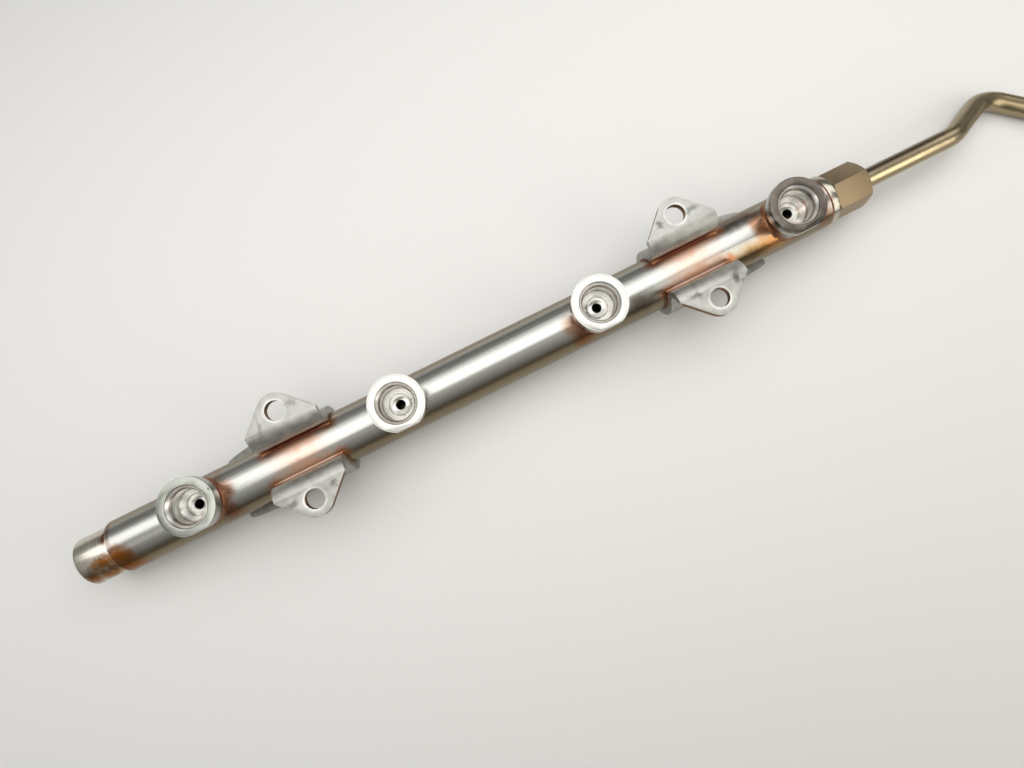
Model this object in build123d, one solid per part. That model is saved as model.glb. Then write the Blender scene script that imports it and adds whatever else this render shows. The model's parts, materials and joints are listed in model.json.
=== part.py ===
"""Fuel rail of a four-cylinder direct-injection petrol engine, with its inlet pipe.

A round stainless tube carries four turned injector cups and two stamped saddle brackets,
all copper-brazed. A brazed plug closes one end. The other end has a brazed inlet fitting,
on which a union nut holds the bent steel pipe.

Frame: +X runs along the tube from the plug to the inlet, +Z is up, the way the cups open.
The origin is the centre of the four mounting holes, in the plane of the ears' seat faces.
All sizes are in millimetres.
"""
import os
from math import asin, atan2, cos, degrees, hypot, radians, sin, tan

from build123d import *

# ---- rail tube ---------------------------------------------------------------------------
cylinder_pitch = 84.0       # spacing of the engine's cylinders, and so of the cups
cylinders = 4
tube_od = 21.3
tube_wall = 2.8
plug_end_overhang = 38.0    # tube beyond the first cup's centre
inlet_end_overhang = 19.0   # tube beyond the last cup's centre
tube_end_chamfer = 0.8      # holds the ring of braze at the inlet

# ---- injector cups -----------------------------------------------------------------------
rim_above_seat = 3.1        # cup rims stand proud of the ears' seat faces
rim_od = 21.6
rim_height = 4.2            # full-diameter band under the rim face
rim_flat = 0.9              # how far the locating flat cuts into the rim
neck_od = 17.6              # cup body between the rim band and the tube
neck_taper = 1.6            # height of the taper from rim band to neck
mouth_d = 15.8              # lead-in chamfer at the rim face
lead_in = 1.9               # depth of the lead-in chamfer
injector_bore_d = 12.8
injector_bore_depth = 7.0   # depth of the parallel seal bore, from the rim face
funnel_depth = 11.2         # depth of the funnel's small end, from the rim face
feed_hole_d = 3.9           # through the cup's floor and the tube's wall

# ---- mounting brackets -------------------------------------------------------------------
sheet = 3.0
bend_radius = 3.5           # inside radius of the bends under the ears
wrap_angle = 38.8           # how far above its middle the sheet hugs the tube, degrees
mount_spacing_y = 36.0      # across the tube, ear hole to ear hole
mount_hole_d = 7.6          # for M7 screws
ear_round = 6.8             # radius of the ear's tip, round its hole
ear_half_width = 14.3       # half the width of an ear at its root
ear_root = 4.8              # where an ear's slanted sides start, inboard of the hole
saddle_overhang = 35.3      # reach of the saddle beyond the holes, towards the rail's end
flank_top = 0.3             # height of the saddle's bare flank above mid-tube, at the ear
flank_end_top = -7.0        # the same at the saddle's end
flank_corner = 5.0          # radius of the flank's end corner, in side view

# ---- end plug, inlet fitting, union ------------------------------------------------------
plug_step = 1.15            # how far the plug lies inside the tube's outside, all round
plug_length = 14.0          # plug outside the tube
plug_spigot = 10.0          # plug inside the tube
flange_step = 0.35          # the same for the inlet fitting's flange
flange_length = 3.0
fitting_spigot = 10.0
thread_d = 14.0             # M14 x 1.5
thread_length = 8.0
seat_mouth_d = 10.4         # 60 degree seat cone in the fitting's end
seat_half_angle = 30.0
fitting_bore_d = 5.0
nut_af = 17.0
nut_length = 15.5
nut_gap = 0.5               # between the tightened nut and the fitting's flange
nut_clocking = 17.0         # turn of the nut from flat-side-up, degrees
nut_chamfer_angle = 30.0
sleeve_od = 13.2
sleeve_length = 2.6         # parallel part of the ring that the nut presses on

# ---- pipe --------------------------------------------------------------------------------
pipe_od = 8.0
pipe_wall = 1.5
nose_tip_d = 6.6            # small end of the formed nose
nose_bulge_d = 10.8
nose_land = 1.5             # parallel stretch round the bulge
first_corner = 65.0         # from the tube's end to the pipe's first bend
second_run = 28.0           # from there to the second bend, along the rail
second_sideways = 10.6      # and across it
last_run = 48.0             # straight run after the second bend
last_heading = -39.5        # its direction from +X, degrees
pipe_bend_radius = 14.0

# ---- brazing and fits --------------------------------------------------------------------
braze_gap = 0.3             # film of braze between saddle and tube
braze_toe = 0.7             # braze showing beyond the saddle's edges
cup_bead = 0.8              # width and height of the bead round a cup's foot
bracket_fillet = 1.1        # radius of the fillet's hollow front, under the ears' bends
plug_fillet = 0.8
fit_clearance = 0.05        # spigots in their holes
thread_clearance = 0.05     # nut on fitting, at the thread's nominal diameter
pipe_clearance = 0.2        # pipe through the nut

# ---- worked out --------------------------------------------------------------------------
tube_r = tube_od / 2
tube_bore_r = tube_r - tube_wall
saddle_r = tube_r + braze_gap
saddle_outer_r = saddle_r + sheet
bend_outer = bend_radius + sheet
bend_centre_r = saddle_r + bend_outer
bend_y = bend_centre_r * cos(radians(wrap_angle))
bend_z = bend_centre_r * sin(radians(wrap_angle))
seat_height = bend_z + bend_outer           # ears' seat faces above the tube's axis
axis_z = -seat_height
cup_stations = [(i - (cylinders - 1) / 2) * cylinder_pitch for i in range(cylinders)]
bracket_x = (cylinders / 2 - 1) * cylinder_pitch
hole_y = mount_spacing_y / 2
tube_start = cup_stations[0] - plug_end_overhang
tube_end = cup_stations[-1] + inlet_end_overhang
tube_length = tube_end - tube_start
rim_top = seat_height + rim_above_seat      # above the tube's axis, like the next values
rim_r = rim_od / 2
neck_r = neck_od / 2
feed_r = feed_hole_d / 2
plug_r = tube_r - plug_step
flange_r = tube_r - flange_step
neck_top = rim_top - rim_height - neck_taper
thread_start = flange_length
thread_end = thread_start + thread_length   # fitting's end face, from the tube's end
seat_slope = tan(radians(seat_half_angle))
nose_tip_station = thread_end - (seat_mouth_d - nose_tip_d) / 2 / seat_slope
bulge_station = thread_end + (nose_bulge_d - seat_mouth_d) / 2 / seat_slope
shoulder_station = bulge_station + nose_land
sleeve_end = shoulder_station + sleeve_length
nut_start = flange_length + nut_gap
pipe_drop = saddle_outer_r - pipe_od / 2    # pipe's last run lies level with the saddles


def on_axis(station, shape):
    """Place a shape made about its own +Z so that it lies along the tube, from station."""
    return Plane(origin=(station, 0, axis_z), x_dir=(0, 1, 0), z_dir=(1, 0, 0)) * shape


def turned(*outline):
    """Revolve an outline of (radius, height) points about +Z."""
    return revolve(Plane.XZ * make_face(Polyline(*outline, close=True)), Axis.Z)


def rod(radius, length):
    """A plain cylinder from the origin up +Z."""
    return Cylinder(radius, length, align=(Align.CENTER, Align.CENTER, Align.MIN))


# ---- rail tube ---------------------------------------------------------------------------
def rail_tube():
    """Tube with a feed hole under each cup and a bevelled inlet end."""
    bevel = tube_end_chamfer
    tube = on_axis(tube_start, turned(
        (tube_bore_r, 0), (tube_r, 0), (tube_r, tube_length - bevel),
        (tube_r - bevel, tube_length), (tube_bore_r, tube_length),
    ))
    for x in cup_stations:
        tube -= Pos(x, 0, axis_z) * rod(feed_r, 2 * tube_r)
    return tube


# ---- injector cups -----------------------------------------------------------------------
def cup_blank():
    """The turned cup about +Z, with height 0 on the tube's axis."""
    blank = turned(
        (feed_r, 0), (neck_r, 0), (neck_r, neck_top), (rim_r, neck_top + neck_taper),
        (rim_r, rim_top), (mouth_d / 2, rim_top),
        (injector_bore_d / 2, rim_top - lead_in),
        (injector_bore_d / 2, rim_top - injector_bore_depth),
        (feed_r, rim_top - funnel_depth),
    )
    flat = Pos(0, rim_flat - rim_r, 0) * Box(
        rim_od, rim_od, rim_top, align=(Align.CENTER, Align.MAX, Align.MIN)
    )
    return blank - flat


def injector_cup(x):
    """A cup coped to the outside of the tube."""
    return Pos(x, 0, axis_z) * cup_blank() - on_axis(x - rim_r, rod(tube_r, rim_od))


def cup_braze(x):
    """Bead of braze in the corner between a cup's foot and the tube."""
    reach = neck_r + cup_bead
    ring = Pos(x, 0, axis_z) * (rod(reach, rim_top) - rod(neck_r, rim_top))
    skin = on_axis(x - reach, rod(tube_r + cup_bead, 2 * reach) - rod(tube_r, 2 * reach))
    return ring & skin


# ---- mounting brackets, made about the hole pair with +X towards the rail's end ----------
def sheet_face(saddle, bend):
    """One face of the sheet in section: round the tube's underside, out through the bend."""
    wrap = JernArc(start=(0, -saddle), tangent=(1, 0), radius=saddle, arc_size=90 + wrap_angle)
    turn = JernArc(start=wrap @ 1, tangent=wrap % 1, radius=bend, arc_size=-(90 + wrap_angle))
    wing = Line(turn @ 1, (hole_y + 2 * ear_round, (turn @ 1).Y))
    return wrap, turn, wing


def sheet_run(length):
    """The bent sheet before it is trimmed, both halves, with its section along the tube."""
    near = sheet_face(saddle_r, bend_outer)
    far = sheet_face(saddle_outer_r, bend_radius)
    ends = Line(near[0] @ 0, far[0] @ 0), Line(near[2] @ 1, far[2] @ 1)
    half = extrude(Plane.YZ * make_face([*near, *far, *ends]), length)
    return half + mirror(half, Plane.XZ)


def side_outline(grow=0.0):
    """Side view of the bracket: full height at the ears, low flanks towards the rail's end."""
    end = saddle_overhang + grow
    ear = ear_half_width + grow
    corners = [
        (-ear, -2 * tube_od), (end, -2 * tube_od), (end, flank_end_top + grow),
        (ear, flank_top + grow), (ear, 2 * tube_od), (-ear, 2 * tube_od),
    ]
    outline = make_face(Polyline(*corners, close=True))
    end_corner = outline.vertices().group_by(Axis.X)[-1].sort_by(Axis.Y)[-1]
    return fillet(end_corner, flank_corner)


def side_prism(grow=0.0):
    """The side view carried right across the bracket."""
    return extrude(Plane.XZ * side_outline(grow), mount_spacing_y, both=True)


def ear_outline():
    """Plan of the ears: slanted sides run tangent to the round tips."""
    root_y = hole_y - ear_root
    lean = atan2(ear_root, ear_half_width) + asin(ear_round / hypot(ear_half_width, ear_root))
    touch = (ear_round * sin(lean), hole_y + ear_round * cos(lean))
    tip = ThreePointArc(touch, (0, hole_y + ear_round), (-touch[0], touch[1]))
    half = [
        Line((ear_half_width, 0), (ear_half_width, root_y)), Line((ear_half_width, root_y), touch),
        tip, Line((-touch[0], touch[1]), (-ear_half_width, root_y)),
        Line((-ear_half_width, root_y), (-ear_half_width, 0)),
        Line((-ear_half_width, 0), (ear_half_width, 0)),
    ]
    outline = make_face(half)
    return outline + mirror(outline, Plane.XZ)


def bracket():
    """Stamped saddle bracket: a wrap round the tube that bends out into two holed ears."""
    length = ear_half_width + saddle_overhang
    blank = Pos(-ear_half_width, 0, 0) * sheet_run(length)
    split = bend_z - bend_outer             # trimming of the ears starts above this height
    ears = Pos(0, 0, split) * extrude(ear_outline(), 2 * seat_height)
    lower = Box(
        4 * saddle_overhang, 4 * tube_od, 2 * tube_od, align=(Align.CENTER, Align.CENTER, Align.MAX)
    )
    shape = blank & side_prism() & (ears + Pos(0, 0, split) * lower)
    for side in (-1, 1):
        shape -= Pos(0, side * hole_y, 0) * rod(mount_hole_d / 2, 2 * seat_height)
    return shape


def bracket_braze():
    """Braze between saddle and tube: a film all round and a fillet under each bend."""
    outer = ear_half_width + saddle_overhang + 2 * braze_toe
    film_arc = [
        JernArc(start=(0, -r), tangent=(1, 0), radius=r, arc_size=90 + wrap_angle)
        for r in (tube_r, saddle_r)
    ]
    film_ends = [Line(film_arc[0] @ i, film_arc[1] @ i) for i in (0, 1)]
    film = Pos(-ear_half_width - braze_toe, 0, 0) * extrude(
        Plane.YZ * make_face([*film_arc, *film_ends]), outer
    )
    film = film + mirror(film, Plane.XZ)
    film = film & side_prism(braze_toe)

    # the fillet's hollow front is part of a circle that touches the tube and the bend
    ball = bracket_fillet
    a, b, c = tube_r + ball, bend_outer + ball, bend_centre_r
    turn = degrees(asin_of_side(a, b, c))
    ball_at = (a * cos(radians(wrap_angle + turn)), a * sin(radians(wrap_angle + turn)))
    wedge = make_face(Polyline((0, 0), (bend_y, bend_z), ball_at, close=True))
    wedge -= Circle(tube_r)
    wedge -= Pos(bend_y, bend_z) * Circle(bend_outer)
    wedge -= Pos(*ball_at) * Circle(ball)
    strip = Pos(-ear_half_width, 0, 0) * extrude(Plane.YZ * wedge, 2 * ear_half_width)
    return film + strip + mirror(strip, Plane.XZ)


def asin_of_side(a, b, c):
    """Angle between sides a and c of a triangle whose third side is b, in radians."""
    cosine = (a * a + c * c - b * b) / (2 * a * c)
    return atan2((1 - cosine * cosine) ** 0.5, cosine)


def on_bracket_station(shape, side):
    """Put a bracket-shaped piece on the tube at its hole pair; side -1 is the plug's end."""
    turned_round = shape if side > 0 else mirror(shape, Plane.YZ)
    return Pos(side * bracket_x, 0, axis_z) * turned_round


# ---- end plug ----------------------------------------------------------------------------
def end_plug():
    """Turned plug that closes the tube, smaller than the tube outside."""
    inner = tube_bore_r - fit_clearance
    return on_axis(tube_start, turned(
        (0, -plug_length), (plug_r, -plug_length), (plug_r, 0),
        (inner, 0), (inner, plug_spigot), (0, plug_spigot),
    ))


def end_plug_braze():
    """Ring of braze in the step between the plug and the tube's end face."""
    return on_axis(tube_start, turned((plug_r, 0), (plug_r, -plug_fillet), (plug_r + plug_fillet, 0)))


# ---- inlet -------------------------------------------------------------------------------
def inlet_fitting():
    """Brazed-in fitting: spigot, flange, threaded shank and seat cone."""
    inner = tube_bore_r - fit_clearance
    bore = fitting_bore_d / 2
    cone_end = thread_end - (seat_mouth_d - fitting_bore_d) / 2 / seat_slope
    return on_axis(tube_end, turned(
        (bore, -fitting_spigot), (inner, -fitting_spigot), (inner, 0), (flange_r, 0),
        (flange_r, flange_length), (thread_d / 2, flange_length), (thread_d / 2, thread_end),
        (seat_mouth_d / 2, thread_end), (bore, cone_end),
    ))


def inlet_braze():
    """Ring of braze in the bevel at the tube's end, against the fitting's flange."""
    b = tube_end_chamfer
    return on_axis(tube_end, turned((tube_r - b, 0), (tube_r, -b), (tube_r - b / 4, 0)))


def union_nut():
    """Hexagon union nut, chamfered at both ends, with a shoulder over the sleeve."""
    corner_r = nut_af / 2 / cos(radians(30))
    drop = (corner_r - nut_af / 2) * tan(radians(nut_chamfer_angle))
    hexagon = extrude(RegularPolygon(corner_r, 6), nut_length)
    crown = turned(
        (0, 0), (nut_af / 2, 0), (corner_r, drop), (corner_r, nut_length - drop),
        (nut_af / 2, nut_length), (0, nut_length),
    )
    body = Rot(0, 0, nut_clocking) * (hexagon & crown)
    body -= rod(thread_d / 2 + thread_clearance, sleeve_end - nut_start)
    body -= rod(pipe_od / 2 + pipe_clearance, nut_length)
    return on_axis(tube_end + nut_start, body)


def pipe_sleeve():
    """Ring between the nut's shoulder and the back of the pipe's formed nose."""
    ring = rod(sleeve_od / 2, sleeve_length) - rod(pipe_od / 2, sleeve_length)
    return on_axis(tube_end + shoulder_station, ring)


def fuel_pipe():
    """Rigid pipe: formed nose in the fitting's cone, two bends, plain far end."""
    inner = pipe_od / 2 - pipe_wall
    nose = on_axis(tube_end, turned(
        (inner, nose_tip_station), (nose_tip_d / 2, nose_tip_station),
        (nose_bulge_d / 2, bulge_station), (nose_bulge_d / 2, shoulder_station),
        (inner, shoulder_station),
    ))
    low = axis_z - pipe_drop
    start = (tube_end + shoulder_station, 0, axis_z)
    corner = (tube_end + first_corner, 0, axis_z)
    second = (corner[0] + second_run, second_sideways, low)
    heading = radians(last_heading)
    finish = (second[0] + last_run * cos(heading), second[1] + last_run * sin(heading), low)
    route = FilletPolyline(start, corner, second, finish, radius=pipe_bend_radius)
    section = Circle(pipe_od / 2) - Circle(inner)
    return nose + sweep(on_axis(start[0], section), path=route)


# ---- all pieces --------------------------------------------------------------------------
def pieces():
    """Each node's name and its solid, or its group of like solids."""
    yield "rail_tube", rail_tube()
    yield "end_plug", end_plug()
    for number, x in enumerate(cup_stations, start=1):
        yield f"injector_cup_{number}", injector_cup(x)
    for name, side in (("left", -1), ("right", 1)):
        yield f"mounting_bracket_{name}", on_bracket_station(bracket(), side)
    yield "inlet_fitting", inlet_fitting()
    yield "union_nut", union_nut()
    yield "pipe_sleeve", pipe_sleeve()
    yield "fuel_pipe", fuel_pipe()
    yield "cup_braze", Compound([cup_braze(x) for x in cup_stations])
    yield "bracket_braze", Compound([on_bracket_station(bracket_braze(), s) for s in (-1, 1)])
    yield "tube_end_braze", Compound([end_plug_braze(), inlet_braze()])


os.makedirs("parts", exist_ok=True)
for node, shape in pieces():
    export_step(shape, f"parts/{node}.step")
    print(node, round(shape.volume, 1))
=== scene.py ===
"""Dresses the fuel rail: worn steels, heat tints, braze fillets, floor, lamps and camera.

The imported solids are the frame. Each operator finishes one piece or one group of like pieces.
Lengths are metres, but millimetres in the materials and where a name ends in _mm or _MM.
"""
import json
from math import atan2, pi, radians

import bmesh
import bpy
from mathutils import Matrix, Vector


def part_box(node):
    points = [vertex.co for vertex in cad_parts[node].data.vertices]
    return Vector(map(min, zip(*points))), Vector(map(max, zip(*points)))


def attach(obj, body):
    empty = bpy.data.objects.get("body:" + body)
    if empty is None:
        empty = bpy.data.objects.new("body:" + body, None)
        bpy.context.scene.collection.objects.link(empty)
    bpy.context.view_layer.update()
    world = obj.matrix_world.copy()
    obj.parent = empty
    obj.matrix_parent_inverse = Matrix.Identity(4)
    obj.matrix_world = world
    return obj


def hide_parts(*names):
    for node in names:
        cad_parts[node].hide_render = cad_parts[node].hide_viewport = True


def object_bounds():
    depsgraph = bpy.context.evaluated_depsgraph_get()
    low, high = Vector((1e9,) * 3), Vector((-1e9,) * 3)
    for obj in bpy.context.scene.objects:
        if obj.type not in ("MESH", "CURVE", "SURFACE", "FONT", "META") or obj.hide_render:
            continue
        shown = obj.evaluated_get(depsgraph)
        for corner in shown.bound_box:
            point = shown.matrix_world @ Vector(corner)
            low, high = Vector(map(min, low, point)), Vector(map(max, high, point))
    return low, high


bl_info = {
    "name": "Fuel Rail Finishes",
    "version": (1, 0, 0),
    "blender": (4, 5, 0),
    "location": "3D View > Sidebar > Fuel Rail",
    "description": "Finishes a brazed fuel rail with turned cups, braze fillets and worn steel",
    "category": "Object",
}

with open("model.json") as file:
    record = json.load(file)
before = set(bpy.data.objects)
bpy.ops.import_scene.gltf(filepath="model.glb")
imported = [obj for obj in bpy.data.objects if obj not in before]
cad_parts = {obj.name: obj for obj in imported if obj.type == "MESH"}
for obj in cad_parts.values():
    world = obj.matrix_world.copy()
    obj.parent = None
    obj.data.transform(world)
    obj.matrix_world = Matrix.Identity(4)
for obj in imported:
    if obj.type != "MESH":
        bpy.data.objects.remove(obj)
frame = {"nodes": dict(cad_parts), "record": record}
CAD_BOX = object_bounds()
NODES = frame["nodes"]
MOUNTS = {mount["name"]: mount["dims"] for mount in frame["record"]["mounts"]}
MM = 0.001
MERGE = 0.002 * MM                              # corners nearer than this are one corner
FLAT = radians(1)                               # faces that turn less than this are one face
SHARP = radians(32)                             # edges that turn more than this are rounded
NOISE_SPAN = {1: 0.3, 2: 0.7}                   # Map Range's span of the values noise keeps to

# ---- places and sizes read from the frame -------------------------------------------------------
CUP_NODES = [f"injector_cup_{number}" for number in range(1, 5)]
BRACKET_NODES = ["mounting_bracket_left", "mounting_bracket_right"]


def middle(node):
    """Centre of a node's box."""
    low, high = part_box(node)
    return (low + high) / 2


TUBE_LOW, TUBE_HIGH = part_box("rail_tube")
TUBE_R_MM = (TUBE_HIGH.z - TUBE_LOW.z) / 2 / MM
AXIS_MM = (TUBE_HIGH.z + TUBE_LOW.z) / 2 / MM
TUBE_TOP_MM = AXIS_MM + TUBE_R_MM
SEAM_MM = TUBE_LOW.x / MM                       # where the plug meets the tube
INLET_MM = TUBE_HIGH.x / MM                     # where the fitting meets the tube
CUP_X_MM = [middle(node).x / MM for node in CUP_NODES]
CUP_PITCH_MM = CUP_X_MM[1] - CUP_X_MM[0]
RIM_TOP_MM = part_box(CUP_NODES[0])[1].z / MM
BORE_R_MM = MOUNTS["injector_cup_1"]["r_mm"]
LEAD_IN_MM = 1.5                                # how much wider the lead-in is than the bore
BORE_DEPTH_MM = 7.0                             # from the rim to the foot of the bore's wall
FOOT_MM = AXIS_MM + 9.0                         # mean height of a cup's foot on the tube
BRACKET_X_MM = MOUNTS["mounting_holes"]["spacing_x_mm"] / 2
HOLE_Y_MM = MOUNTS["mounting_holes"]["spacing_y_mm"] / 2
HOLE_R_MM = MOUNTS["mounting_holes"]["hole_r_mm"]


# ---- small tools --------------------------------------------------------------------------------
def linear(code):
    """An sRGB hex colour as linear RGBA."""
    channels = [int(code[i:i + 2], 16) / 255 for i in (1, 3, 5)]
    curve = [c / 12.92 if c <= 0.04045 else ((c + 0.055) / 1.055) ** 2.4 for c in channels]
    return (*curve, 1.0)


def add(tree, kind, inputs=None, **settings):
    """Adds a node. An input takes a value, a node (its first output) or a node's socket."""
    made = tree.nodes.new(kind)
    for name, value in settings.items():
        setattr(made, name, value)
    for socket, value in (inputs or {}).items():
        if isinstance(value, bpy.types.Node):
            value = value.outputs[0]
        if isinstance(value, bpy.types.NodeSocket):
            tree.links.new(value, made.inputs[socket])
        else:
            made.inputs[socket].default_value = value
    return made


def new_material(name):
    """An empty material with its tree and the object's coordinates in millimetres."""
    material = bpy.data.materials.new(name)
    material.use_nodes = True
    tree = material.node_tree
    tree.nodes.clear()
    place = add(tree, "ShaderNodeTexCoord")
    in_mm = add(tree, "ShaderNodeVectorMath", {0: place.outputs["Object"], 1: (1 / MM,) * 3},
                operation="MULTIPLY")
    return material, tree, in_mm


def metal(tree, colour, roughness, bump=None):
    """Ends a material's tree in the metal shader that all the steels and the braze share."""
    sockets = {"Base Color": colour, "Metallic": 1.0, "Roughness": roughness}
    if bump is not None:
        sockets["Normal"] = bump
    shader = add(tree, "ShaderNodeBsdfPrincipled", sockets)
    add(tree, "ShaderNodeOutputMaterial", {"Surface": shader})


def tint(tree, colour, over, mask, strength=1.0):
    """Lays a second colour over a colour where a mask is 1, as strongly as strength says."""
    share = add(tree, "ShaderNodeMath", {0: mask, 1: strength}, operation="MULTIPLY")
    return add(tree, "ShaderNodeMix", {"Factor": share, 6: colour, 7: over},
               data_type="RGBA").outputs[2]


def band(tree, value, centre, reach):
    """1 where a value is within reach of a centre, falling smoothly to 0 at twice the reach."""
    off = add(tree, "ShaderNodeMath", {0: value, 1: centre}, operation="SUBTRACT")
    gap = add(tree, "ShaderNodeMath", {0: off}, operation="ABSOLUTE")
    return add(tree, "ShaderNodeMapRange", {"Value": gap, 1: reach, 2: 2 * reach, 3: 1.0, 4: 0.0},
               interpolation_type="SMOOTHSTEP")


def from_brackets(tree, in_mm):
    """Coordinates that are alike at both brackets, their ends and both sides of the rail.

    X counts from the nearer bracket's middle and Y from the rail's, both never below 0.
    """
    part = add(tree, "ShaderNodeSeparateXYZ", {0: in_mm})
    from_middle = add(tree, "ShaderNodeMath", {0: part.outputs["X"]}, operation="ABSOLUTE")
    from_bracket = add(tree, "ShaderNodeMath", {0: from_middle, 1: BRACKET_X_MM},
                       operation="SUBTRACT")
    either_end = add(tree, "ShaderNodeMath", {0: from_bracket}, operation="ABSOLUTE")
    either_side = add(tree, "ShaderNodeMath", {0: part.outputs["Y"]}, operation="ABSOLUTE")
    return add(tree, "ShaderNodeCombineXYZ",
               {"X": either_end, "Y": either_side, "Z": part.outputs["Z"]})


def stain(tree, colour, place, ragged, spots):
    """Lays soft-edged spots over a colour.

    Each spot is (hex, strength, centre_mm, reach_mm), whole to half its reach and gone at 1.7
    times it. Place is the coordinate that the spots are set in, and ragged is a noise value
    that breaks up their edges.
    """
    for code, strength, centre_mm, reach_mm in spots:
        offset = add(tree, "ShaderNodeVectorMath", {0: place, 1: centre_mm}, operation="SUBTRACT")
        scaled = add(tree, "ShaderNodeVectorMath", {0: offset, 1: reach_mm}, operation="DIVIDE")
        length = add(tree, "ShaderNodeVectorMath", {0: scaled}, operation="LENGTH")
        edge = add(tree, "ShaderNodeMath", {0: length.outputs["Value"], 1: ragged},
                   operation="ADD")
        mask = add(tree, "ShaderNodeMapRange", {"Value": edge, 1: 0.5, 2: 1.7, 3: 1.0, 4: 0.0},
                   interpolation_type="SMOOTHSTEP")
        colour = tint(tree, colour, linear(code), mask, strength)
    return colour


def smooth(obj):
    """Smooth shading; a node's CAD faces stay apart, so its sharp edges stay sharp."""
    obj.data.polygons.foreach_set("use_smooth", [True] * len(obj.data.polygons))


def dress(obj, material):
    """Gives an object one material."""
    obj.data.materials.clear()
    obj.data.materials.append(material)


def mesh_object(name, bm):
    """Turns a bmesh into an object of the scene."""
    mesh = bpy.data.meshes.new(name)
    bm.to_mesh(mesh)
    bm.free()
    obj = bpy.data.objects.new(name, mesh)
    bpy.context.scene.collection.objects.link(obj)
    return obj


def applied(obj):
    """Turns an object's modifiers into plain mesh."""
    view = bpy.context.evaluated_depsgraph_get()
    mesh = bpy.data.meshes.new_from_object(obj.evaluated_get(view), depsgraph=view)
    obj.modifiers.clear()
    obj.data = mesh


def rounded(node, radius):
    """Stands a merged copy of a node in its place, with all its sharp edges rounded."""
    bm = bmesh.new()
    bm.from_mesh(NODES[node].data)
    bmesh.ops.remove_doubles(bm, verts=bm.verts, dist=MERGE)
    bmesh.ops.dissolve_limit(bm, angle_limit=FLAT, verts=bm.verts, edges=bm.edges)
    obj = mesh_object(f"{node}_rounded", bm)
    smooth(obj)
    bevel = obj.modifiers.new("rounding", "BEVEL")
    bevel.width = radius
    bevel.segments = 3
    bevel.limit_method = "ANGLE"
    bevel.angle_limit = SHARP
    bevel.harden_normals = True
    applied(obj)
    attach(obj, "root")
    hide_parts(node)
    return obj


# ---- settings of the finishes -------------------------------------------------------------------
def lighter_tone(name, code, piece):
    """A colour setting that starts from a hex code: the lighter of a finish's two tones."""
    return bpy.props.FloatVectorProperty(
        name=name, description=f"Lighter tone of {piece}", subtype="COLOR", size=4, min=0.0,
        max=1.0, default=linear(code))


class FinishColours(bpy.types.PropertyGroup):
    """Base colours of the finishes."""
    # tube_top is a painted highlight along the tube's top, tube_sides is painted shade on its
    # sides
    tube_top: lighter_tone("Tube Top", "#C6C6C1", "the rubbed strip along the tube's top")
    tube_sides: lighter_tone("Tube Sides", "#887B61", "the straw-brown sides of the tube")
    cups: lighter_tone("Cups", "#CDCCC6", "the turned cups")
    copper: lighter_tone("Copper", "#9C6E50", "the copper braze")
    brackets: lighter_tone("Brackets", "#BAB9B3", "the pickled sheet of the brackets")
    plug: lighter_tone("Plug", "#D6D1C4", "the turned plug")
    fitting: lighter_tone("Fitting", "#C2BCB0", "the inlet fitting's flange")
    nut: lighter_tone("Nut", "#A18E72", "the union nut's plating")
    pipe: lighter_tone("Pipe", "#A5977A", "the drawn pipe")


def edge_radius(name, radius, piece):
    """A setting for the radius of a piece's broken edges."""
    return bpy.props.FloatProperty(
        name=name, description=f"Radius on the edges of {piece}", unit="LENGTH", min=0.0,
        default=radius)


class EdgeSizes(bpy.types.PropertyGroup):
    """Radius of the edges that are broken on each piece."""
    cups: edge_radius("Cup Edges", 0.22 * MM, "the injector cups")
    brackets: edge_radius("Bracket Edges", 0.3 * MM, "the mounting brackets")
    plug: edge_radius("Plug Edges", 0.5 * MM, "the end plug")
    inlet: edge_radius("Inlet Edges", 0.25 * MM, "the fitting's flange and the union nut")


# ---- stage --------------------------------------------------------------------------------------
class StageSizes(bpy.types.PropertyGroup):
    """Camera, lamps and floor."""
    lens: bpy.props.FloatProperty(
        name="Lens", description="Camera's focal length", unit="CAMERA", default=21.37)
    eye: bpy.props.FloatVectorProperty(
        name="Eye", description="Camera's place over the rail", subtype="TRANSLATION",
        unit="LENGTH", default=(-9.3 * MM, -30.7 * MM, 225.0 * MM))
    lean: bpy.props.FloatVectorProperty(
        name="Lean", description="Camera's small tilts about the rail's X and Y axes", size=2,
        unit="ROTATION", default=(-0.0811, 0.0381))
    roll: bpy.props.FloatProperty(
        name="Roll", description="Turn of the rail in the picture", subtype="ANGLE",
        default=radians(26.55))
    key: bpy.props.FloatProperty(
        name="Key", description="Power of the long softbox beside the rail", unit="POWER",
        default=1.6)
    top: bpy.props.FloatProperty(
        name="Top", description="Power of the softbox over the rail's middle", unit="POWER",
        default=0.36)
    side: bpy.props.FloatProperty(
        name="Side", description="Power of the softbox beyond the inlet", unit="POWER",
        default=1.9)
    fill: bpy.props.FloatProperty(
        name="Fill", description="Power of the wide softbox in front of the rail",
        unit="POWER", default=0.5)
    horizon: bpy.props.FloatProperty(
        name="Horizon", description="Brightness of the room's walls", subtype="FACTOR",
        min=0.0, max=1.0, default=0.15)
    ceiling: bpy.props.FloatProperty(
        name="Ceiling", description="Brightness of the room's ceiling", subtype="FACTOR",
        min=0.0, max=1.0, default=0.5)
    floor_colour: bpy.props.FloatVectorProperty(
        name="Floor", description="Colour of the floor", subtype="COLOR", size=4, min=0.0,
        max=1.0, default=linear("#DDDCD9"))


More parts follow.
